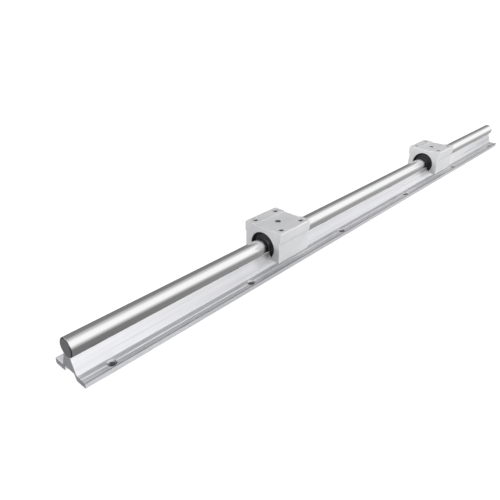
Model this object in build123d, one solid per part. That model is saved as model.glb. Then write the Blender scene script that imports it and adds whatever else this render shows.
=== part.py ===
from build123d import *
import math
import os

# Supported round rail with two open bearing carriages.
# Millimetres and degrees. X runs along the rail, Z is up, and the origin is the middle of the base.

# Rail
rail_length = 800.0
shaft_diameter = 16.0
shaft_axis_height = 25.0
shaft_end_chamfer = 0.8
cradle_clearance = 0.02
neck_width = 9.0
neck_upright = 0.6
foot_width = 18.5
foot_fillet = 0.8
flange_width = 10.75
flange_thickness = 5.0
flange_top_chamfer = 0.4
flange_bottom_round = 1.0
channel_mouth_width = 16.0
channel_top_width = 12.0
channel_depth = 5.2

# Hole stations along the rail
station_pitch = 150.0
least_end_distance = 25.0
flange_hole_diameter = 5.5
flange_hole_edge_distance = 5.0
marking_groove_width = 1.3
marking_groove_depth = 0.5

# Holes for the screws that hold the shaft from below, at the same stations
shaft_screw_clearance_diameter = 5.5
shaft_tapping_diameter = 4.2
shaft_tapped_depth = 7.0

# Linear ball bearing
ball_diameter = 3.0
ball_clearance = 0.015
ball_gap = 0.12
ball_row_angles = (60.0, 125.0)
ball_row_end_distance = 3.5
ball_slot_clearance = 0.05
sleeve_wall = 2.97
sleeve_length = 37.0
oil_hole_diameter = 3.0
retainer_shaft_gap = 0.5
retainer_race_gap = 0.1
seal_thickness = 2.4
seal_lip_length = 1.4
seal_lip_clearance = 0.05
fit_clearance = 0.01
seat_clearance = 0.03

# Carriage housing
carriage_1_position = -170.0
carriage_2_position = 172.0
opening_angle = 80.0
housing_length = 45.0
housing_width = 45.0
axis_to_top = 20.0
axis_to_bottom = 11.5
side_step_below_top = 8.7
side_step_height = 2.9
side_step_depth = 1.3
top_recess_width = 19.5
top_recess_depth = 1.0
top_recess_draft = 0.3
long_edge_chamfer = 0.8
end_edge_chamfer = 0.3
mounting_pitch_along = 30.0
mounting_pitch_across = 32.0
mounting_drill_diameter = 4.2
mounting_hole_depth = 12.0
lubrication_hole_diameter = 5.0
lubrication_hole_depth = 4.0

# Sizes that follow from those above
shaft_radius = shaft_diameter / 2
foot_half = foot_width / 2
base_half = foot_half + flange_width
neck_half = neck_width / 2
cradle_radius = shaft_radius + cradle_clearance
cradle_lip_height = shaft_axis_height - math.sqrt(cradle_radius**2 - neck_half**2)
flange_hole_row = base_half - flange_hole_edge_distance
station_count = int((rail_length - 2 * least_end_distance) / station_pitch) + 1
stations = [(i - (station_count - 1) / 2) * station_pitch for i in range(station_count)]

race_radius = shaft_radius + 2 * ball_clearance + ball_diameter
sleeve_radius = race_radius + sleeve_wall
bore_radius = sleeve_radius + fit_clearance
retainer_inner_radius = shaft_radius + retainer_shaft_gap
retainer_outer_radius = race_radius - retainer_race_gap
retainer_length = sleeve_length - 2 * (seal_thickness + seat_clearance)
ball_pitch = ball_diameter + ball_gap
ball_row_room = retainer_length - 2 * ball_row_end_distance
balls_per_row = int(ball_row_room / ball_pitch)

housing_top = shaft_axis_height + axis_to_top
housing_bottom = shaft_axis_height - axis_to_bottom
housing_half = housing_width / 2

# The shaft's axis, and the plane of every section across the rail
rail_axis = Axis((0, 0, shaft_axis_height), (1, 0, 0))
across = Plane.YZ
# Cutting tools reach this far past what they cut
reach = shaft_axis_height + housing_width


def mirrored_outline(half_points):
    """A closed face from the points of its +Y half, listed from the middle below to the middle above."""
    other_half = [(-y, z) for y, z in reversed(half_points)]
    return make_face(Polyline(*half_points, *other_half, close=True))


def along_rail(section, length):
    """A section across the rail, extruded over a length with its middle at X = 0."""
    return extrude(across.offset(-length / 2) * section, amount=length)


def disc(radius):
    return Pos(0, shaft_axis_height) * Circle(radius)


def opening_wedge(length):
    """What the downward opening of the carriage removes: a wedge with its point on the shaft's axis."""
    half_width = reach * math.tan(math.radians(opening_angle / 2))
    points = [(0, shaft_axis_height), (half_width, shaft_axis_height - reach)]
    section = make_face(Polyline(*points, (-half_width, shaft_axis_height - reach), close=True))
    return along_rail(section, length)


def corners(section, y, z):
    """The two corners of a section at a distance y to either side, at height z."""
    return [v for v in section.vertices() if math.isclose(abs(v.X), y) and math.isclose(v.Y, z)]


def hole_down(x, y, top, bottom, diameter):
    return Pos(x, y, (top + bottom) / 2) * Cylinder(diameter / 2, top - bottom)


# Fixed rail
def rail_support():
    half_points = [
        (channel_top_width / 2, channel_depth),
        (channel_mouth_width / 2, 0),
        (base_half, 0),
        (base_half, flange_thickness),
        (foot_half, flange_thickness),
        (neck_half, cradle_lip_height - neck_upright),
        (neck_half, cradle_lip_height),
    ]
    section = mirrored_outline(half_points)
    section = fillet(corners(section, base_half, 0), flange_bottom_round)
    section = chamfer(corners(section, base_half, flange_thickness), flange_top_chamfer)
    section = fillet(corners(section, foot_half, flange_thickness), foot_fillet)
    section -= disc(cradle_radius)
    for side in (-1, 1):
        groove = Polyline(
            (side * flange_hole_row - marking_groove_width / 2, flange_thickness),
            (side * flange_hole_row, flange_thickness - marking_groove_depth),
            (side * flange_hole_row + marking_groove_width / 2, flange_thickness),
            close=True,
        )
        section -= make_face(groove)
    support = along_rail(section, rail_length)
    holes = []
    for x in stations:
        holes.append(hole_down(x, 0, shaft_axis_height, 0, shaft_screw_clearance_diameter))
        for y in (-flange_hole_row, flange_hole_row):
            holes.append(hole_down(x, y, flange_thickness, 0, flange_hole_diameter))
    return support - holes


def shaft():
    bar = along_rail(disc(shaft_radius), rail_length)
    bar = chamfer(bar.edges().filter_by(GeomType.CIRCLE), shaft_end_chamfer)
    hole_top = shaft_axis_height - shaft_radius + shaft_tapped_depth
    return bar - [hole_down(x, 0, hole_top, 0, shaft_tapping_diameter) for x in stations]


# One carriage, built about X = 0
def housing():
    step_top = housing_top - side_step_below_top
    lower_half = housing_half - side_step_depth
    recess_half = top_recess_width / 2
    half_points = [
        (lower_half, housing_bottom),
        (lower_half, step_top - side_step_height),
        (housing_half, step_top),
        (housing_half, housing_top),
        (recess_half + top_recess_draft, housing_top),
        (recess_half, housing_top - top_recess_depth),
    ]
    outline = mirrored_outline(half_points)
    outline = chamfer(corners(outline, housing_half, housing_top), long_edge_chamfer)
    outline = fillet(corners(outline, lower_half, housing_bottom), long_edge_chamfer)
    block = along_rail(outline, housing_length)
    ends = block.faces().filter_by(Axis.X)
    block = chamfer(ends.edges(), end_edge_chamfer)
    tools = [along_rail(disc(bore_radius), housing_length), opening_wedge(housing_length)]
    hole_bottom = housing_top - mounting_hole_depth
    for x in (-mounting_pitch_along / 2, mounting_pitch_along / 2):
        for y in (-mounting_pitch_across / 2, mounting_pitch_across / 2):
            tools.append(hole_down(x, y, housing_top, hole_bottom, mounting_drill_diameter))
    hole_bottom = housing_top - top_recess_depth - lubrication_hole_depth
    tools.append(hole_down(0, 0, housing_top, hole_bottom, lubrication_hole_diameter))
    tools.append(hole_down(0, 0, housing_top, shaft_axis_height, oil_hole_diameter))
    return block - tools


def bearing_sleeve():
    section = disc(sleeve_radius) - disc(race_radius)
    sleeve = along_rail(section, sleeve_length) - opening_wedge(sleeve_length)
    sleeve_top = shaft_axis_height + sleeve_radius
    return sleeve - hole_down(0, 0, sleeve_top, shaft_axis_height, oil_hole_diameter)


def ball_rows():
    """The angle of each ball row about the shaft's axis, from straight down, to either side."""
    return [side * angle for angle in ball_row_angles for side in (-1, 1)]


def row_plane(angle):
    """A plane on the shaft's axis that looks outwards along a ball row's angle."""
    turn = math.radians(angle)
    outwards = (0, math.sin(turn), -math.cos(turn))
    return Plane(origin=(0, 0, shaft_axis_height), x_dir=(1, 0, 0), z_dir=outwards)


def ball_retainer():
    ring = disc(retainer_outer_radius) - disc(retainer_inner_radius)
    cage = along_rail(ring, retainer_length) - opening_wedge(retainer_length)
    slot_width = ball_diameter + 2 * ball_slot_clearance
    slot_length = balls_per_row * ball_pitch + 2 * ball_slot_clearance
    slot = extrude(Rectangle(slot_length, slot_width), sleeve_radius)
    return cage - [row_plane(angle).location * slot for angle in ball_rows()]


def seal(side):
    """A wiper in the sleeve's end, turned about the shaft's axis, with its lip at the outside."""
    outer = race_radius - fit_clearance
    lip = shaft_radius + seal_lip_clearance
    outside = sleeve_length / 2
    inside = outside - seal_thickness
    profile = Polyline(
        (inside, outer),
        (outside, outer),
        (outside, lip),
        (inside, lip + seal_lip_length),
        close=True,
    )
    section = Plane.XZ * Pos(0, shaft_axis_height) * make_face(profile)
    ring = revolve(section, rail_axis) - opening_wedge(2 * sleeve_length)
    return ring if side > 0 else mirror(ring, Plane.YZ)


def carriage():
    """Every piece of one carriage by name, about X = 0. Front is the -X end."""
    return {
        "housing": housing(),
        "bearing_sleeve": bearing_sleeve(),
        "ball_retainer": ball_retainer(),
        "seal_front": seal(-1),
        "seal_rear": seal(1),
    }


def build():
    pieces = {"rail_support": rail_support(), "shaft": shaft()}
    carriage_pieces = carriage()
    for number, x in enumerate((carriage_1_position, carriage_2_position), start=1):
        for name, piece in carriage_pieces.items():
            pieces[f"carriage_{number}_{name}"] = Pos(x, 0, 0) * piece
    return pieces


os.makedirs("parts", exist_ok=True)
for name, piece in build().items():
    export_step(piece, f"parts/{name}.step")
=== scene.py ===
import math

import bmesh
import bpy
from mathutils import Matrix, Vector


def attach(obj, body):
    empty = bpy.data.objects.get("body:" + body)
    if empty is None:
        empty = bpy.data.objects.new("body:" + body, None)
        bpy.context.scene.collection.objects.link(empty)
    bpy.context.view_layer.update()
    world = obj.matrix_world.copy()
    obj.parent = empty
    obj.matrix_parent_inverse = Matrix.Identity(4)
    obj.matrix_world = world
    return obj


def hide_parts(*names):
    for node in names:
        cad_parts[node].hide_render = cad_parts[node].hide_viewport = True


# Supported round rail with two open bearing carriages, dressed for the photograph.
# Blender works in metres, and so do the materials, lights and camera below. The shapes are written in
# millimetres. X runs along the rail, Z is up and the origin is the middle of the underside, as in CAD.

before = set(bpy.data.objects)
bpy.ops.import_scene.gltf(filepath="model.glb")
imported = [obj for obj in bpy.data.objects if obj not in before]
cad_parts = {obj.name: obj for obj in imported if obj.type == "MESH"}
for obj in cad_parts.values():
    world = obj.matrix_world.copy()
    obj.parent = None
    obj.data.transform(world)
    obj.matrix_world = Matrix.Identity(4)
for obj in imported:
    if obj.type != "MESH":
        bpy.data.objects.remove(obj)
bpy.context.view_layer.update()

MM = 0.001

# Rail
HALF_RAIL = 400.0
AXIS_Z = 25.0
SHAFT_R = 8.0
CRADLE_R = 8.02
NECK_HALF = 4.5
NECK_UPRIGHT = 0.6
FOOT_HALF = 9.25
BASE_HALF = 20.0
FLANGE_TOP = 5.0
CHANNEL_TOP_HALF = 6.0
CHANNEL_MOUTH_HALF = 8.0
CHANNEL_DEPTH = 5.2
GROOVE_HALF = 0.65
GROOVE_DEPTH = 0.5
STATIONS = [-375.0, -225.0, -75.0, 75.0, 225.0, 375.0]
HOLE_ROW = 15.0
HOLE_R = 2.75
COUNTERSINK_R = 4.0

# Carriages
CARRIAGES = {"carriage_1": -170.0, "carriage_2": 172.0}
OPENING = math.radians(40)
HALF_HOUSING = 22.5
HOUSING_BOTTOM = 13.5
HOUSING_TOP = 45.0
RECESS_FLOOR = 44.0
LOWER_HALF = 21.2
STEP_BOTTOM = 33.4
STEP_TOP = 36.3
TOP_CHAMFER = 0.8
RECESS_HALF = 9.75
RECESS_DRAFT = 0.3
MOUNT_ROWS_X = (-15.0, 15.0)
MOUNT_ROWS_Y = (-16.0, 16.0)
MOUNT_HOLE_BOTTOM = 33.0
OIL_HOLE_R = 1.5

# Bearings. The ring grooves lie beside the sleeve, at these distances from the carriage's middle.
BORE_R = 14.01
SLEEVE_R = 14.0
RACE_R = 11.03
HALF_SLEEVE = 18.5
RING_GROOVE = (18.56, 19.86)
RING_GROOVE_R = 14.6
BALL_R = 1.5
BALL_CIRCLE_R = SHAFT_R + 1.515
BALL_ROW_DEGREES = (-125.0, -60.0, 60.0, 125.0)
BALLS_PER_ROW = 8
BALL_PITCH = 3.12


# ---------------------------------------------------------------- mesh helpers

def signed_area(points):
    """Twice the area of a closed outline, above zero if it runs anticlockwise."""
    return sum(a[0] * b[1] - b[0] * a[1] for a, b in zip(points, points[1:] + points[:1]))


def inset(points, distance):
    """A closed outline with every side moved inwards by a distance."""
    way = 1 if signed_area(points) > 0 else -1
    out = []
    for i, point in enumerate(points):
        here = Vector(point)
        before = (here - Vector(points[i - 1])).normalized()
        after = (Vector(points[(i + 1) % len(points)]) - here).normalized()
        n1 = Vector((-before.y, before.x)) * way
        n2 = Vector((-after.y, after.x)) * way
        moved = here + (n1 + n2) * (distance / (1 + n1.dot(n2)))
        out.append((moved.x, moved.y))
    return out


def rounded(points, radii, in_by):
    """A closed outline that is inset by in_by, with its corners rounded. radii maps a corner's index to its
    radius before the inset, which adds to an inside corner's radius and takes from an outside one's."""
    least = 0.01
    steps = 4
    area = signed_area(points)
    out = []
    for i, point in enumerate(points):
        if i not in radii:
            out.append(point)
            continue
        corner = Vector(point)
        before = (Vector(points[i - 1]) - corner).normalized()
        after = (Vector(points[(i + 1) % len(points)]) - corner).normalized()
        outside = (after.x * before.y - after.y * before.x) * area > 0
        radius = max(radii[i] + (-in_by if outside else in_by), least)
        half = math.acos(max(-1, min(1, before.dot(after)))) / 2
        centre = corner + (before + after).normalized() * (radius / math.sin(half))
        first = corner + before * (radius / math.tan(half)) - centre
        last = corner + after * (radius / math.tan(half)) - centre
        start = math.atan2(first.y, first.x)
        turn = math.atan2(last.y, last.x) - start
        turn = (turn + math.pi) % (2 * math.pi) - math.pi
        for k in range(steps + 1):
            a = start + turn * k / steps
            out.append((centre.x + radius * math.cos(a), centre.y + radius * math.sin(a)))
    return out


def both_sides(half, middle=()):
    """Points and radii of a closed outline, from (y, z, radius) rows of its +Y half and the points between."""
    rows = list(half) + [(y, z, 0) for y, z in middle] + [(-y, z, r) for y, z, r in reversed(half)]
    return [(y, z) for y, z, r in rows], {i: r for i, (y, z, r) in enumerate(rows) if r}


def vertex(bm, x, y, z):
    return bm.verts.new((x * MM, y * MM, z * MM))


def turned_vertex(bm, x, radius, angle):
    """A vertex about the shaft's axis. Angles start straight down and turn towards +Y."""
    return vertex(bm, x, radius * math.sin(angle), AXIS_Z - radius * math.cos(angle))


def level_ring(bm, x, y, z, radii):
    """A ring of vertices at height z about an upright line, one for each of its radii."""
    angles = [2 * math.pi * k / len(radii) for k in range(len(radii))]
    return [vertex(bm, x + r * math.cos(a), y + r * math.sin(a), z) for r, a in zip(radii, angles)]


def skin(bm, rings):
    """Joins rings of vertices into a closed solid. A ring of one vertex is a point."""
    for low, high in zip(rings, rings[1:]):
        count = max(len(low), len(high))
        for i in range(count):
            j = (i + 1) % count
            if len(low) == 1:
                bm.faces.new((low[0], high[j], high[i]))
            elif len(high) == 1:
                bm.faces.new((low[i], low[j], high[0]))
            else:
                bm.faces.new((low[i], low[j], high[j], high[i]))
    if len(rings[0]) > 1:
        bm.faces.new(list(reversed(rings[0])))
    if len(rings[-1]) > 1:
        bm.faces.new(rings[-1])
    return bm


def extrusion(points, radii, x0, x1, edge, edge_steps=2):
    """A closed solid along X with its end edges rounded by edge."""
    rounding = []
    for k in range(edge_steps + 1):
        a = math.pi / 2 * k / edge_steps
        in_by = edge * (1 - math.sin(a))
        rounding.append((edge * (1 - math.cos(a)), rounded(inset(points, in_by), radii, in_by)))
    sections = [(x0 + depth, outline) for depth, outline in rounding]
    sections += [(x1 - depth, outline) for depth, outline in reversed(rounding)]
    bm = bmesh.new()
    return skin(bm, [[vertex(bm, x, y, z) for y, z in outline] for x, outline in sections])


def turned(profile, middle, steps):
    """A solid of (x, radius) points from one end to the other, turned fully about the shaft's axis."""
    bm = bmesh.new()
    rings = []
    for x, r in profile:
        if r == 0:
            rings.append([vertex(bm, middle + x, 0, AXIS_Z)])
        else:
            rings.append([turned_vertex(bm, middle + x, r, 2 * math.pi * k / steps) for k in range(steps)])
    return skin(bm, rings)


def turned_open(profile, middle):
    """A closed profile of (x, radius) points, turned about the shaft's axis up to both sides of the opening."""
    steps = 84
    turn = 2 * math.pi - 2 * OPENING
    bm = bmesh.new()
    angles = [OPENING + turn * k / steps for k in range(steps + 1)]
    return skin(bm, [[turned_vertex(bm, x + middle, r, a) for x, r in profile] for a in angles])


def turned_upright(profile, x, y, steps, bm=None):
    """A solid of (radius, z) points from the bottom to the top, turned about an upright line."""
    bm = bm or bmesh.new()
    return skin(bm, [level_ring(bm, x, y, z, [r] * steps) for r, z in profile])


def tapped(bm, x, y, top, bottom, drill, major, pitch, mouth, cone=True, steps=28):
    """The room that a tapped hole takes: drill point, thread and chamfered mouth. drill and major are the
    thread's least and greatest diameters, and mouth is the chamfer's width."""
    levels_per_turn = 6
    thread_top = top - mouth * 0.6
    point_depth = drill * 0.3
    count = int((thread_top - bottom) / pitch * levels_per_turn)
    rings = []
    if cone:
        rings.append([vertex(bm, x, y, bottom - point_depth)])
    for level in range(count + 1):
        turns = level / levels_per_turn
        fade = min(1.0, turns)
        phases = [(turns - k / steps) % 1.0 for k in range(steps)]
        radii = [drill / 2 + (major - drill) / 2 * (1 - abs(2 * phase - 1)) * fade for phase in phases]
        rings.append(level_ring(bm, x, y, bottom + level * pitch / levels_per_turn, radii))
    wide = major / 2 + mouth
    for r, z in ((major / 2 + 0.02, top - mouth + 0.1), (wide, top), (wide, top + 1)):
        if z * MM > rings[-1][0].co.z + 1e-5:
            rings.append(level_ring(bm, x, y, z, [r] * steps))
    skin(bm, rings)


def new_object(name, bm):
    mesh = bpy.data.meshes.new(name)
    bmesh.ops.recalc_face_normals(bm, faces=bm.faces)
    bm.to_mesh(mesh)
    bm.free()
    obj = bpy.data.objects.new(name, mesh)
    bpy.context.scene.collection.objects.link(obj)
    return obj


def cut_away(obj, cutter_bm):
    """Takes a cutter's room out of the object, and drops the cutter."""
    cutter = new_object("cutter", cutter_bm)
    step = obj.modifiers.new("cut", "BOOLEAN")
    step.operation = "DIFFERENCE"
    step.solver = "EXACT"
    step.object = cutter
    graph = bpy.context.evaluated_depsgraph_get()
    mesh = bpy.data.meshes.new_from_object(obj.evaluated_get(graph))
    obj.modifiers.clear()
    uncut = obj.data
    obj.data = mesh
    bpy.data.meshes.remove(uncut)
    mesh.name = obj.name
    bpy.data.objects.remove(cutter)


def shade(obj, angle):
    """Smooth shading on round surfaces, with every edge sharper than the angle kept sharp."""
    bm = bmesh.new()
    bm.from_mesh(obj.data)
    limit = math.radians(angle)
    for face in bm.faces:
        face.smooth = True
    for edge in bm.edges:
        edge.smooth = len(edge.link_faces) == 2 and edge.calc_face_angle(0) < limit
    bm.to_mesh(obj.data)
    bm.free()


def dress(obj, material, body, replaces=()):
    obj.data.materials.clear()
    obj.data.materials.append(material)
    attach(obj, body)
    if replaces:
        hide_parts(*replaces)


# ---------------------------------------------------------------- materials

class Tree:
    """A short way to write a node tree. Its owner is a material or a world."""

    def __init__(self, owner, coordinates):
        owner.use_nodes = True
        self.tree = owner.node_tree
        self.place = self.new("ShaderNodeTexCoord").outputs[coordinates]

    def new(self, kind, **values):
        node = self.tree.nodes.new(kind)
        for key, value in values.items():
            setattr(node, key, value)
        return node

    def link(self, source, target):
        self.tree.links.new(source, target)

    def axes(self):
        node = self.new("ShaderNodeSeparateXYZ")
        self.link(self.place, node.inputs["Vector"])
        return node.outputs

    def math(self, operation, a, b=None):
        node = self.new("ShaderNodeMath", operation=operation)
        for socket, value in zip(node.inputs, (a, b)):
            if isinstance(value, (int, float)):
                socket.default_value = value
            elif value is not None:
                self.link(value, socket)
        return node.outputs["Value"]

    def spread(self, value, low, high, from_low=0.3, from_high=0.7):
        """The value, mapped from one range to another and held within it."""
        node = self.new("ShaderNodeMapRange")
        node.inputs["From Min"].default_value = from_low
        node.inputs["From Max"].default_value = from_high
        node.inputs["To Min"].default_value = low
        node.inputs["To Max"].default_value = high
        self.link(value, node.inputs["Value"])
        return node.outputs["Result"]

    def colours(self, value, *stops, interpolation="LINEAR"):
        """The value as a place on a ramp of (place, colour) stops."""
        ramp = self.new("ShaderNodeValToRGB")
        ramp.color_ramp.interpolation = interpolation
        elements = ramp.color_ramp.elements
        while len(elements) < len(stops):
            elements.new(0.5)
        for element, (place, colour) in zip(elements, stops):
            element.position = place
            element.color = (*colour, 1.0)
        self.link(value, ramp.inputs["Fac"])
        return ramp.outputs["Color"]


class Material(Tree):
    SOCKETS = {"color": "Base Color", "metallic": "Metallic", "roughness": "Roughness", "normal": "Normal",
               "specular": "Specular IOR Level"}

    def __init__(self, name):
        self.material = bpy.data.materials.new(name)
        super().__init__(self.material, "Object")
        self.shader = self.tree.nodes["Principled BSDF"]

    def noise(self, *stretch, detail=3.0, roughness=0.5, distortion=0.0):
        """Noise whose grain is 1 / stretch metres, the same along all axes or one value for each."""
        mapping = self.new("ShaderNodeMapping")
        mapping.inputs["Scale"].default_value = stretch if len(stretch) == 3 else stretch * 3
        self.link(self.place, mapping.inputs["Vector"])
        noise = self.new("ShaderNodeTexNoise")
        noise.inputs["Scale"].default_value = 1.0
        noise.inputs["Detail"].default_value = detail
        noise.inputs["Roughness"].default_value = roughness
        noise.inputs["Distortion"].default_value = distortion
        self.link(mapping.outputs["Vector"], noise.inputs["Vector"])
        return noise.outputs["Fac"]

    def tones(self, value, dark, bright, low=0.3, high=0.7):
        """Noise as colours between a dark and a bright one."""
        return self.colours(value, (low, dark), (high, bright))

    def blend(self, factor, a, b):
        node = self.new("ShaderNodeMix", data_type="RGBA")
        self.link(factor, node.inputs["Factor"])
        for socket, value in ((node.inputs[6], a), (node.inputs[7], b)):
            if isinstance(value, tuple):
                socket.default_value = (*value, 1.0)
            else:
                self.link(value, socket)
        return node.outputs[2]

    def bump(self, height, distance, strength, after=None):
        node = self.new("ShaderNodeBump")
        node.inputs["Strength"].default_value = strength
        node.inputs["Distance"].default_value = distance
        self.link(height, node.inputs["Height"])
        if after is not None:
            self.link(after, node.inputs["Normal"])
        return node.outputs["Normal"]

    def set(self, **values):
        for key, value in values.items():
            socket = self.shader.inputs[self.SOCKETS[key]]
            if isinstance(value, bpy.types.NodeSocket):
                self.link(value, socket)
            else:
                socket.default_value = value


def extruded_aluminium():
    """Clear anodised extrusion: fine die lines along the rail, sawn and deburred ends."""
    m = Material("support_anodised_extrusion")
    lines = m.noise(6.0, 900.0, 900.0, detail=4.0, roughness=0.6)
    bands = m.noise(2.5, 160.0, 160.0, detail=2.0)
    grain = m.noise(2600.0, detail=2.0)
    clouds = m.noise(14.0, 40.0, 40.0)
    tone = m.math("ADD", m.math("MULTIPLY", lines, 0.45), m.math("MULTIPLY", bands, 0.35))
    tone = m.math("ADD", tone, m.math("MULTIPLY", clouds, 0.2))
    color = m.colours(tone, (0.37, (0.76, 0.762, 0.79)), (0.5, (0.85, 0.852, 0.88)), (0.63, (0.93, 0.93, 0.95)))

    place = m.axes()
    out = m.math("ABSOLUTE", place["Y"])
    groove, flange_top = (HOLE_ROW - GROOVE_HALF) * MM, FLANGE_TOP * MM
    # Painted highlight: the strip of the flange between the foot and the groove is painted brighter than the
    # rest, in place of the bright slope's reflection and bounce light on it
    painted_highlight_strip = m.math("MULTIPLY", m.spread(out, 1.0, 0.0, groove + 0.00005, groove + 0.00045),
                   m.spread(place["Z"], 1.0, 0.0, flange_top + 0.00005, flange_top + 0.0006))
    color = m.blend(painted_highlight_strip, color, m.tones(tone, (0.88, 0.882, 0.905), (0.95, 0.952, 0.975), 0.35, 0.65))
    # Painted shade: the flange's outer face is painted darker, and a dark line is painted along its top corner in
    # place of a dark reflection there
    edge = BASE_HALF * MM
    face = m.spread(out, 0.0, 1.0, edge - 0.00015, edge - 0.00007)
    color = m.blend(face, color, m.tones(tone, (0.59, 0.59, 0.62), (0.72, 0.72, 0.75)))
    corner = m.math("MULTIPLY", m.spread(out, 0.0, 1.0, edge - 0.0008, edge - 0.0004),
                    m.spread(place["Z"], 0.0, 1.0, flange_top - 0.0005, flange_top - 0.0002))
    color = m.blend(corner, color, (0.22, 0.22, 0.23))
    saw = m.noise(30.0, 240.0, 2400.0, distortion=0.4)
    sawn = m.tones(saw, (0.25, 0.25, 0.27), (0.34, 0.34, 0.36))
    at_end = m.math("GREATER_THAN", m.math("ABSOLUTE", place["X"]), HALF_RAIL * MM - 0.00008)
    m.set(color=m.blend(at_end, color, sawn), metallic=0.35, roughness=m.spread(lines, 0.26, 0.36))
    m.set(normal=m.bump(grain, 0.00001, 0.25, m.bump(lines, 0.00003, 0.35)))
    return m.material


def housing_aluminium():
    """Clear anodised block: fine blasted grain over faint lines along the rail."""
    m = Material("housing_anodised_matte")
    grain = m.noise(3200.0, detail=2.0)
    lines = m.noise(25.0, 1400.0, 1400.0, roughness=0.6)
    clouds = m.noise(60.0)
    tone = m.math("ADD", m.math("MULTIPLY", lines, 0.3), m.math("MULTIPLY", clouds, 0.7))
    color = m.colours(tone, (0.3, (0.71, 0.712, 0.725)), (0.5, (0.76, 0.762, 0.775)), (0.7, (0.81, 0.812, 0.822)))
    # Painted shade: a thin dark line along the inside corner below the side step, where the step's down-facing
    # face lies in shade
    place = m.axes()
    painted_step_shade = m.math("ABSOLUTE", m.math("SUBTRACT", place["Z"], STEP_BOTTOM * MM))
    painted_step_shade = m.spread(painted_step_shade, 0.75, 0.0, 0.0002, 0.0006)
    on_side = m.math("GREATER_THAN", m.math("ABSOLUTE", place["Y"]), LOWER_HALF * MM - 0.0001)
    color = m.blend(m.math("MULTIPLY", painted_step_shade, on_side), color, (0.50, 0.50, 0.51))
    m.set(color=color, metallic=0.3, roughness=m.spread(grain, 0.44, 0.56))
    m.set(normal=m.bump(grain, 0.00002, 0.35, m.bump(lines, 0.00002, 0.25)))
    return m.material


def drilled_metal():
    """The countersinks and walls of the support's holes, with painted shade: darker below the mouth."""
    m = Material("support_drilled_holes")
    rings = m.noise(700.0, 700.0, 5200.0, detail=2.0)
    mouth = m.spread(m.axes()["Z"], 0.0, 1.0, FLANGE_TOP * MM - 0.0020, FLANGE_TOP * MM - 0.0004)
    bright = m.tones(rings, (0.55, 0.55, 0.56), (0.70, 0.70, 0.71))
    m.set(color=m.blend(mouth, (0.36, 0.36, 0.365), bright), metallic=0.9)
    m.set(roughness=m.spread(rings, 0.16, 0.26), normal=m.bump(rings, 0.00002, 0.3))
    return m.material


def bore_metal():
    """The turned wall of the bore and the lubrication hole, painted dark as shade inside them."""
    m = Material("housing_turned_bore")
    rings = m.noise(5200.0, 90.0, 90.0)
    color = m.tones(rings, (0.16, 0.16, 0.165), (0.26, 0.26, 0.265))
    m.set(color=color, metallic=0.9, roughness=m.spread(rings, 0.3, 0.45), normal=m.bump(rings, 0.00003, 0.4))
    return m.material


def cut_thread():
    """Freshly tapped aluminium in the screw holes, with painted shade: dark below the mouth."""
    m = Material("housing_cut_thread")
    grain = m.noise(900.0, 900.0, 5200.0, detail=2.0)
    bright = m.tones(grain, (0.60, 0.60, 0.61), (0.70, 0.70, 0.71))
    mouth = m.spread(m.axes()["Z"], 0.0, 1.0, HOUSING_TOP * MM - 0.0016, HOUSING_TOP * MM - 0.0004)
    m.set(color=m.blend(mouth, (0.06, 0.06, 0.062), bright), metallic=0.9)
    m.set(roughness=m.spread(grain, 0.2, 0.32), normal=m.bump(grain, 0.00001, 0.3))
    return m.material


def painted_highlight_edge():
    """Painted highlight on the block's edges, which are painted brighter than its faces."""
    m = Material("housing_bare_edge")
    wear = m.noise(900.0)
    color = m.tones(wear, (0.90, 0.90, 0.905), (0.97, 0.97, 0.972))
    m.set(color=color, metallic=0.1, roughness=m.spread(wear, 0.26, 0.38), normal=m.bump(wear, 0.00001, 0.2))
    return m.material


def chromed_steel():
    """Hard chromed shaft: a soft mirror with faint grinding marks round it, faced ends and a painted dark
    reflection on the end chamfers.
    """
    m = Material("shaft_hard_chrome")
    ground = m.noise(2400.0, 30.0, 30.0, roughness=0.55)
    smear = m.noise(9.0, 60.0, 60.0, detail=2.0)
    blotch = m.noise(400.0)
    place = m.axes()
    along = m.math("ABSOLUTE", place["X"])
    at_end = m.math("GREATER_THAN", along, HALF_RAIL * MM - 0.00005)
    # Painted reflection: the end chamfers are painted dark
    painted_dark_chamfer = m.math("GREATER_THAN", along, HALF_RAIL * MM - 0.00075)
    bright = m.tones(smear, (0.83, 0.83, 0.835), (0.89, 0.89, 0.892))
    faced = m.tones(blotch, (0.50, 0.50, 0.53), (0.62, 0.62, 0.65))
    color = m.blend(at_end, m.blend(painted_dark_chamfer, bright, (0.16, 0.16, 0.17)), faced)
    # The lathe's fine circles on the ends
    height = m.math("SUBTRACT", place["Z"], AXIS_Z * MM)
    radius = m.math("SQRT", m.math("ADD", m.math("POWER", place["Y"], 2.0), m.math("POWER", height, 2.0)))
    circles = m.math("SINE", m.math("MULTIPLY", radius, 26000.0))
    turning = m.bump(m.math("MULTIPLY", circles, at_end), 0.00001, 0.35)
    rough = m.math("ADD", m.spread(ground, 0.17, 0.23), m.math("MULTIPLY", at_end, 0.2))
    m.set(color=color, metallic=1.0, roughness=rough, normal=m.bump(ground, 0.000006, 0.25, turning))
    return m.material


def ground_steel():
    m = Material("sleeve_ground_steel")
    marks = m.noise(3800.0, 60.0, 60.0)
    color = m.tones(marks, (0.46, 0.46, 0.47), (0.58, 0.58, 0.59))
    m.set(color=color, metallic=1.0, roughness=m.spread(marks, 0.24, 0.36), normal=m.bump(marks, 0.00001, 0.3))
    return m.material


def polished_steel():
    m = Material("balls_polished_steel")
    haze = m.noise(900.0, detail=2.0)
    color = m.tones(haze, (0.70, 0.70, 0.71), (0.76, 0.76, 0.77))
    m.set(color=color, metallic=1.0, roughness=m.spread(haze, 0.06, 0.12))
    return m.material


def moulded_resin():
    m = Material("retainer_moulded_resin")
    grain = m.noise(2200.0)
    color = m.tones(grain, (0.020, 0.020, 0.022), (0.034, 0.034, 0.037))
    m.set(color=color, metallic=0.0, roughness=m.spread(grain, 0.42, 0.56), normal=m.bump(grain, 0.00003, 0.4))
    return m.material


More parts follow.
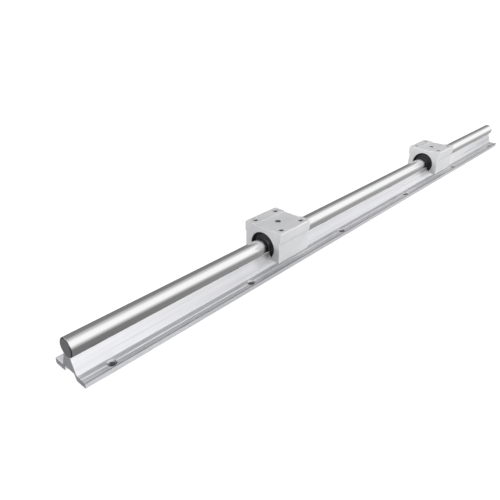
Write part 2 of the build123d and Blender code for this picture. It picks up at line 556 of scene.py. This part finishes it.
def black_rubber():
    m = Material("seal_black_rubber")
    grain = m.noise(3000.0)
    clouds = m.noise(180.0, detail=2.0)
    color = m.tones(clouds, (0.036, 0.036, 0.038), (0.058, 0.058, 0.061))
    m.set(color=color, metallic=0.0, roughness=m.spread(grain, 0.5, 0.66), normal=m.bump(grain, 0.00003, 0.5))
    return m.material


def black_oxide():
    m = Material("ring_black_oxide_steel")
    grain = m.noise(1600.0)
    wear = m.noise(260.0, detail=4.0)
    color = m.tones(wear, (0.030, 0.030, 0.033), (0.075, 0.073, 0.072), 0.35, 0.75)
    m.set(color=color, metallic=0.8, roughness=m.spread(grain, 0.34, 0.5), normal=m.bump(grain, 0.00002, 0.4))
    return m.material


MATERIALS = {
    "support": extruded_aluminium(),
    "housing": housing_aluminium(),
    "drilled": drilled_metal(),
    "bore": bore_metal(),
    "thread": cut_thread(),
    "edge": painted_highlight_edge(),
    "shaft": chromed_steel(),
    "sleeve": ground_steel(),
    "balls": polished_steel(),
    "retainer": moulded_resin(),
    "seal": black_rubber(),
    "oxide": black_oxide(),
}


# ---------------------------------------------------------------- fixed rail

def rail_support():
    lip = AXIS_Z - math.sqrt(CRADLE_R ** 2 - NECK_HALF ** 2)
    half = [
        (CHANNEL_TOP_HALF, CHANNEL_DEPTH, 0.3),
        (CHANNEL_MOUTH_HALF, 0.0, 0.25),
        (BASE_HALF, 0.0, 1.0),
        (BASE_HALF, FLANGE_TOP, 0.22),
        (HOLE_ROW + GROOVE_HALF, FLANGE_TOP, 0.08),
        (HOLE_ROW, FLANGE_TOP - GROOVE_DEPTH, 0.08),
        (HOLE_ROW - GROOVE_HALF, FLANGE_TOP, 0.08),
        (FOOT_HALF, FLANGE_TOP, 0.8),
        (NECK_HALF, lip - NECK_UPRIGHT, 0.4),
        (NECK_HALF, lip, 0),
    ]
    reach = math.asin(NECK_HALF / CRADLE_R)
    steps = 24
    turns = [reach - 2 * reach * k / steps for k in range(1, steps)]
    cradle = [(CRADLE_R * math.sin(a), AXIS_Z - CRADLE_R * math.cos(a)) for a in turns]
    points, radii = both_sides(half, cradle)
    obj = new_object("rail_support_extrusion", extrusion(points, radii, -HALF_RAIL, HALF_RAIL, 0.2))

    # Flange holes with a deburred foot and a countersink, and the shaft screws' holes in the middle
    flange_hole = [(3.4, -1.0), (3.4, 0.0), (HOLE_R, 0.4), (HOLE_R, 3.75), (COUNTERSINK_R, FLANGE_TOP),
                   (COUNTERSINK_R, 7.0)]
    screw_hole = [(HOLE_R, 3.0), (HOLE_R, 20.0)]
    cutter = bmesh.new()
    for x in STATIONS:
        for y in (-HOLE_ROW, HOLE_ROW):
            turned_upright(flange_hole, x, y, 56, cutter)
        turned_upright(screw_hole, x, 0.0, 40, cutter)
    cut_away(obj, cutter)
    shade(obj, 28)

    # As in the photograph, the shaft's underside mirrors the dark below it and not the pale support
    obj.visible_glossy = False
    dress(obj, MATERIALS["support"], "rail", ["rail_support"])
    # Faces in the flange holes take the drilled material, whose walls are painted dark below the mouth as shade
    obj.data.materials.append(MATERIALS["drilled"])
    for face in obj.data.polygons:
        c = face.center / MM
        x = min(STATIONS, key=lambda station: abs(c.x - station))
        from_hole = math.hypot(c.x - x, abs(c.y) - HOLE_ROW)
        if from_hole < COUNTERSINK_R - 0.01 and 0.3 < c.z < FLANGE_TOP - 0.03:
            face.material_index = 1


def shaft():
    end = HALF_RAIL
    chamfer = [(end, 0.0), (end, 7.05), (end - 0.06, 7.18), (end - 0.7, 7.84), (end - 0.95, 7.98),
               (end - 1.3, SHAFT_R)]
    profile = [(-x, r) for x, r in chamfer]
    profile += [(x, SHAFT_R) for x in (-200.0, 0.0, 200.0)]
    profile += reversed(chamfer)
    obj = new_object("shaft_ground_bar", turned(profile, 0.0, 160))
    shade(obj, 25)
    dress(obj, MATERIALS["shaft"], "rail", ["shaft"])


def socket_screw(number, x):
    """M5 socket head cap screw from below, its head in the channel under the support."""
    steps = 72
    knurled = 0.09
    bm = bmesh.new()

    def ring(radius, z, knurl=0.0):
        return level_ring(bm, x, 0.0, z, [radius - (knurl if k % 2 else 0.0) for k in range(steps)])

    def hexagon(flats, z):
        angles = [2 * math.pi * k / steps for k in range(steps)]
        turns = [(a + math.pi / 6) % (math.pi / 3) - math.pi / 6 for a in angles]
        return level_ring(bm, x, 0.0, z, [flats / 2 / math.cos(turn) for turn in turns])

    rings = [
        [vertex(bm, x, 0.0, 3.6)],
        hexagon(3.9, 2.7),
        hexagon(4.0, 0.42),
        hexagon(4.3, 0.2),
        ring(3.75, 0.2),
        ring(4.05, 0.32),
        ring(4.25, 0.62, knurled),
        ring(4.25, 4.85, knurled),
        ring(4.12, 5.18),
        ring(2.6, 5.19),
    ]
    thread_start, thread_end, pitch = 5.6, 21.6, 0.8
    crest_r, root_r = 2.48, 2.12
    z = thread_start
    while z < thread_end:
        rings.append(ring(crest_r, z))
        rings.append(ring(root_r, z + pitch / 2))
        z += pitch
    rings.append(ring(1.9, 22.0))
    obj = new_object(f"shaft_screw_{number}", skin(bm, rings))
    shade(obj, 24)
    dress(obj, MATERIALS["oxide"], "rail")


# ---------------------------------------------------------------- carriages

def housing(body, x):
    name = f"{body}_housing"
    half = [
        (LOWER_HALF, HOUSING_BOTTOM, 0.8),
        (LOWER_HALF, STEP_BOTTOM, 0.8),
        (HALF_HOUSING, STEP_TOP, 0.8),
        (HALF_HOUSING, HOUSING_TOP - TOP_CHAMFER, 0.25),
        (HALF_HOUSING - TOP_CHAMFER, HOUSING_TOP, 0.25),
        (RECESS_HALF + RECESS_DRAFT, HOUSING_TOP, 0.2),
        (RECESS_HALF, RECESS_FLOOR, 0.15),
    ]
    points, radii = both_sides(half)
    obj = new_object(f"{name}_block", extrusion(points, radii, x - HALF_HOUSING, x + HALF_HOUSING, 0.45, 3))

    # The bore with its chamfered mouths and the two grooves for the retaining rings
    past_end = 24.0
    mouth_depth = 21.95
    groove_in, groove_out = RING_GROOVE
    mouth = [(past_end, 0.0), (past_end, 15.2), (HALF_HOUSING, 14.55), (mouth_depth, BORE_R),
             (groove_out, BORE_R), (groove_out, RING_GROOVE_R), (groove_in, RING_GROOVE_R), (groove_in, BORE_R)]
    cut_away(obj, turned([(-a, r) for a, r in mouth] + mouth[::-1], x, 120))

    # The opening below
    reach = 30.0
    width = reach * math.tan(OPENING)
    wedge = [(0.0, AXIS_Z), (width, AXIS_Z - reach), (-width, AXIS_Z - reach)]
    cut_away(obj, extrusion(wedge, {}, x - past_end, x + past_end, 0.1, 1))

    # Four M5 holes, the M6 lubrication hole and the oil's way down to the sleeve
    holes = bmesh.new()
    for dx in MOUNT_ROWS_X:
        for y in MOUNT_ROWS_Y:
            tapped(holes, x + dx, y, HOUSING_TOP, MOUNT_HOLE_BOTTOM, drill=4.2, major=4.95, pitch=0.8, mouth=0.35)
    lubrication_bottom = 40.0
    tapped(holes, x, 0.0, RECESS_FLOOR, lubrication_bottom, drill=5.0, major=5.9, pitch=0.75, mouth=0.45,
           cone=False, steps=36)
    cut_away(obj, holes)
    oil_way = [(OIL_HOLE_R, 36.0), (OIL_HOLE_R, lubrication_bottom + 1.0)]
    cut_away(obj, turned_upright(oil_way, x, 0.0, 32))
    shade(obj, 24)

    dress(obj, MATERIALS["housing"], body, [name])
    for part in ("bore", "thread", "edge"):
        obj.data.materials.append(MATERIALS[part])
    for face in obj.data.polygons:
        c = face.center / MM
        along = abs(c.x - x)
        r = math.hypot(c.y, c.z - AXIS_Z)
        in_bore = BORE_R - 0.07 < r < RING_GROOVE_R + 0.06 and along < mouth_depth - 0.05
        in_lubrication_hole = math.hypot(along, c.y) < 2.97 and c.z < RECESS_FLOOR - 0.3
        from_screw = min(math.hypot(c.x - x - dx, c.y - y) for dx in MOUNT_ROWS_X for y in MOUNT_ROWS_Y)
        in_screw_hole = from_screw < 2.85 and c.z < HOUSING_TOP - 0.01
        on_end_edge = HALF_HOUSING - 0.42 < along < HALF_HOUSING - 0.001
        on_top_edge = abs(c.y) > HALF_HOUSING - 1.0 and c.z > HOUSING_TOP - 0.95
        outside_bore = r > 15.0
        # The bore and the lubrication hole take the bore material painted dark as shade, the screw holes the
        # thread painted dark below the mouth as shade, and the edges a painted highlight
        if in_bore or in_lubrication_hole:
            face.material_index = 1
        elif in_screw_hole:
            face.material_index = 2
        elif outside_bore and (on_end_edge or on_top_edge):
            face.material_index = 3


def open_ring(name, body, profile, middle, slot, node):
    obj = new_object(name, turned_open(profile, middle))
    shade(obj, 26)
    dress(obj, MATERIALS[slot], body, [node])


def bearing_sleeve(body, x):
    h = HALF_SLEEVE
    # A rounded end and the shallow groove near it, from the race round to the middle of the outside
    end = [
        (h - 0.25, RACE_R), (h, RACE_R + 0.25), (h, SLEEVE_R - 0.5), (h - 0.1, SLEEVE_R - 0.2),
        (h - 0.4, SLEEVE_R), (13.0, SLEEVE_R), (13.0, SLEEVE_R - 0.5), (11.4, SLEEVE_R - 0.5), (11.4, SLEEVE_R),
    ]
    profile = end + [(-a, r) for a, r in reversed(end)]
    open_ring(f"{body}_sleeve_ring", body, profile, x, "sleeve", f"{body}_bearing_sleeve")


def seal(body, x, side, node):
    """Wiper seal: a rim that sits in the sleeve, a dished web and a lip at the shaft."""
    h = HALF_SLEEVE
    profile = [
        (h - 2.35, 11.0), (h - 0.15, 11.0), (h - 0.02, 10.9), (h - 0.02, 10.35), (h - 0.3, 10.2),
        (h - 0.75, 9.95), (h - 0.8, 9.3), (h - 0.55, 8.85), (h - 0.15, 8.6), (h - 0.02, 8.35), (h - 0.04, 8.1),
        (h - 0.2, 8.06), (h - 1.1, 8.5), (h - 1.5, 9.1), (h - 2.3, 9.5),
    ]
    profile = [(side * a, r) for a, r in profile]
    open_ring(f"{body}_{node}_wiper", body, profile, x, "seal", f"{body}_{node}")


def retaining_ring(body, x, side, end):
    """Internal retaining ring in its groove beside the sleeve, with two drilled lugs next to the opening."""
    inner, outer = 11.9, 14.45
    edge = 0.08
    waist = 0.55
    lug, lug_depth = math.radians(15.0), 1.95
    low, high = sorted((x + side * (RING_GROOVE[0] + 0.06), x + side * (RING_GROOVE[1] - 0.1)))
    start = OPENING + math.radians(3.0)
    span = 2 * math.pi - 2 * start
    steps = 96
    bm = bmesh.new()
    rows = []
    for k in range(steps + 1):
        a = start + span * k / steps
        from_end = min(a - start, start + span - a)
        taper = waist * math.sin(min(1.0, (from_end / (span / 2))) * math.pi / 2)
        depth = lug_depth * min(1.0, (1 - from_end / lug) * 3.2) ** 0.6 if from_end < lug else 0.0
        r = inner - taper - depth
        section = ((low + edge, r), (low, r + edge), (low, outer - edge), (low + edge, outer),
                   (high - edge, outer), (high, outer - edge), (high, r + edge), (high - edge, r))
        rows.append([turned_vertex(bm, along, radius, a) for along, radius in section])
    obj = new_object(f"{body}_retaining_ring_{end}", skin(bm, rows))

    # The lugs' holes for the pliers
    hole_r, hole_circle_r, sides = 0.75, 11.35, 20
    pins = bmesh.new()
    for way in (-1, 1):
        a = way * (start + lug * 0.42)
        cy, cz = hole_circle_r * math.sin(a), AXIS_Z - hole_circle_r * math.cos(a)
        turns = [2 * math.pi * k / sides for k in range(sides)]
        circle = [(cy + hole_r * math.cos(t), cz + hole_r * math.sin(t)) for t in turns]
        skin(pins, [[vertex(pins, along, y, z) for y, z in circle] for along in (low - 1, high + 1)])
    cut_away(obj, pins)
    shade(obj, 26)
    dress(obj, MATERIALS["oxide"], body)


def balls(body, x):
    """The loaded rows of steel balls between the shaft and the sleeve."""
    bm = bmesh.new()
    for angle in BALL_ROW_DEGREES:
        a = math.radians(angle)
        y, z = BALL_CIRCLE_R * math.sin(a), AXIS_Z - BALL_CIRCLE_R * math.cos(a)
        for i in range(BALLS_PER_ROW):
            dx = (i - (BALLS_PER_ROW - 1) / 2) * BALL_PITCH
            place = Matrix.Translation(((x + dx) * MM, y * MM, z * MM))
            bmesh.ops.create_uvsphere(bm, u_segments=20, v_segments=12, radius=BALL_R * MM, matrix=place)
    obj = new_object(f"{body}_balls", bm)
    shade(obj, 60)
    dress(obj, MATERIALS["balls"], body)


rail_support()
shaft()
for index, station in enumerate(STATIONS, start=1):
    socket_screw(index, station)
for carriage, place in CARRIAGES.items():
    housing(carriage, place)
    bearing_sleeve(carriage, place)
    balls(carriage, place)
    for way, end_name in ((-1, "front"), (1, "rear")):
        seal(carriage, place, way, f"seal_{end_name}")
        retaining_ring(carriage, place, way, end_name)
    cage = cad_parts[f"{carriage}_ball_retainer"]
    cage.data.materials.clear()
    cage.data.materials.append(MATERIALS["retainer"])


# ---------------------------------------------------------------- floor, light and camera

def pale_floor():
    """A plain pale floor, with a painted contact shadow right under the rail."""
    bm = bmesh.new()
    bmesh.ops.create_grid(bm, x_segments=2, y_segments=2, size=40.0)
    floor = new_object("floor", bm)
    gap_below_rail = 0.0003
    floor.location.z = -gap_below_rail
    m = Material("floor_pale")
    place = m.axes()
    # Painted shadow: under the rail's footprint the floor is dark and doesn't glow; away from it the glow rises
    # from 0.88 to full white a metre off
    painted_shadow_half_length, painted_shadow_half_width = 0.3840, 0.0187
    along = m.math("SUBTRACT", m.math("ABSOLUTE", place["X"]), painted_shadow_half_length)
    across = m.math("SUBTRACT", m.math("ABSOLUTE", place["Y"]), painted_shadow_half_width)
    outside = m.math("MAXIMUM", along, across)
    clear = m.spread(outside, 0.0, 1.0, -0.0008, 0.0012)
    m.set(color=m.blend(clear, (0.05, 0.05, 0.05), (0.35, 0.35, 0.35)), metallic=0.0, roughness=0.9, specular=0.1)
    glow = m.blend(clear, (0.0, 0.0, 0.0), m.spread(outside, 0.88, 1.0, 0.1, 1.0))
    m.link(glow, m.shader.inputs["Emission Color"])
    m.shader.inputs["Emission Strength"].default_value = 1.0
    m.material.cycles.emission_sampling = "NONE"
    floor.data.materials.append(m.material)
    floor.visible_glossy = False


def studio_world():
    """What the metals reflect: a long pale light along the rail's front, a second one behind it towards the
    near end, grey elsewhere at the back, dark below. The camera itself sees the floor's plain white."""
    world = bpy.data.worlds.new("studio")
    w = Tree(world, "Generated")
    place = w.axes()

    def by_angle(angle, levels):
        """Brightness by an angle in degrees, with a smooth change from each (degrees, level) to the next."""
        stops = [((degrees + 180) / 360, (level, level, level)) for degrees, level in levels]
        return w.colours(w.spread(angle, 0.0, 1.0, -180, 180), *stops, interpolation="EASE")

    # Degrees about the rail: 0 is the horizon in front, 90 is straight up
    front = w.math("MULTIPLY", place["Y"], -1.0)
    angle = w.math("MULTIPLY", w.math("ARCTAN2", place["Z"], front), 180 / math.pi)
    upper = by_angle(angle, [(-180, 1.0), (66, 1.0), (96, 0.58), (126, 0.22), (180, 0.20)])
    # The light's lower edge drops towards the far end, and the dark below it is paler there
    drop, least_dark, paler, brightness = 50.0, 0.19, 0.4, 1.08
    beyond = w.math("MAXIMUM", w.math("SUBTRACT", place["X"], 0.4), 0.0)
    tilted = w.math("ADD", angle, w.math("MULTIPLY", beyond, drop))
    lower = by_angle(tilted, [(-180, 0.0), (-34, 0.0), (-12, 0.16), (4, 0.5), (32, 1.0), (180, 1.0)])
    dark = w.math("ADD", w.math("MULTIPLY", beyond, paler), least_dark)
    behind = by_angle(angle, [(-180, 0.0), (100, 0.0), (122, 0.8), (150, 0.8), (170, 0.1), (180, 0.0)])
    behind = w.math("MULTIPLY", behind, w.spread(place["X"], 1.0, 0.0, -0.05, 0.30))
    total = w.math("MULTIPLY", w.math("MAXIMUM", upper, behind), w.math("MAXIMUM", lower, dark))
    level = w.math("MULTIPLY", total, brightness)
    seen = w.new("ShaderNodeLightPath").outputs["Is Camera Ray"]
    background = w.tree.nodes["Background"]
    w.link(w.math("MAXIMUM", level, seen), background.inputs["Color"])
    background.inputs["Strength"].default_value = 1.0
    world.cycles_visibility.diffuse = False
    bpy.context.scene.world = world


def hang(name, data, place, target):
    """Puts a light in the scene. It isn't seen in reflections, which come from the surroundings alone."""
    light = bpy.data.objects.new(name, data)
    light.location = place
    light.rotation_mode = "QUATERNION"
    light.rotation_quaternion = (Vector(target) - Vector(place)).to_track_quat("-Z", "Y")
    light.visible_glossy = False
    bpy.context.scene.collection.objects.link(light)


def soft_light(name, place, target, size, power):
    data = bpy.data.lights.new(name, "AREA")
    data.shape = "RECTANGLE"
    data.size, data.size_y = size
    data.energy = power
    hang(name, data, place, target)


def soft_spot(name, place, target, degrees, size, power):
    """A narrow light that brightens one place, whose beam fades from its middle outwards."""
    data = bpy.data.lights.new(name, "SPOT")
    data.energy = power
    data.spot_size = math.radians(degrees)
    data.spot_blend = 1.0
    data.shadow_soft_size = size
    hang(name, data, place, target)


def camera():
    data = bpy.data.cameras.new("camera")
    data.sensor_width = 36.0
    data.lens = 36.30793
    data.clip_start = 0.01
    data.clip_end = 120.0
    eye = bpy.data.objects.new("camera", data)
    eye.location = (-0.51878966, -0.27688144, 0.25208649)
    eye.rotation_euler = [math.radians(a) for a in (61.567561343, -0.683315673, -47.747116238)]
    bpy.context.scene.collection.objects.link(eye)
    bpy.context.scene.camera = eye


pale_floor()
studio_world()
# Name, place, target, size and power
soft_light("front_softbox", (-0.15, -1.20, 0.95), (0.0, 0, 0.02), (1.2, 0.5), 4)
soft_light("low_softbox", (-0.30, -1.50, 0.30), (-0.1, 0, 0.02), (0.8, 0.4), 2.3)
soft_light("right_softbox", (5.0, -5.0, 1.8), (0, 0, 0.02), (1.6, 1.2), 245)
soft_light("top_softbox", (0.3, 0.0, 1.8), (0.1, 0, 0), (1.2, 1.6), 5)
soft_light("back_softbox", (1.0, 1.3, 1.5), (0.1, 0, 0.03), (2.0, 1.4), 30)
soft_light("left_softbox", (-1.8, 0.8, 0.26), (-0.15, 0, 0.03), (0.6, 0.3), 16.5)
# Name, place, target, beam in degrees, size and power
soft_spot("near_end_spot", (-0.75, -1.2, 0.14), (-0.44, 0, 0.012), 8.5, 0.15, 125)
soft_spot("far_carriage_spot", (-1.5, 0.3, 0.35), (0.15, 0, 0.035), 4.0, 0.02, 25)
camera()
bpy.context.scene.view_settings.view_transform = "Standard"
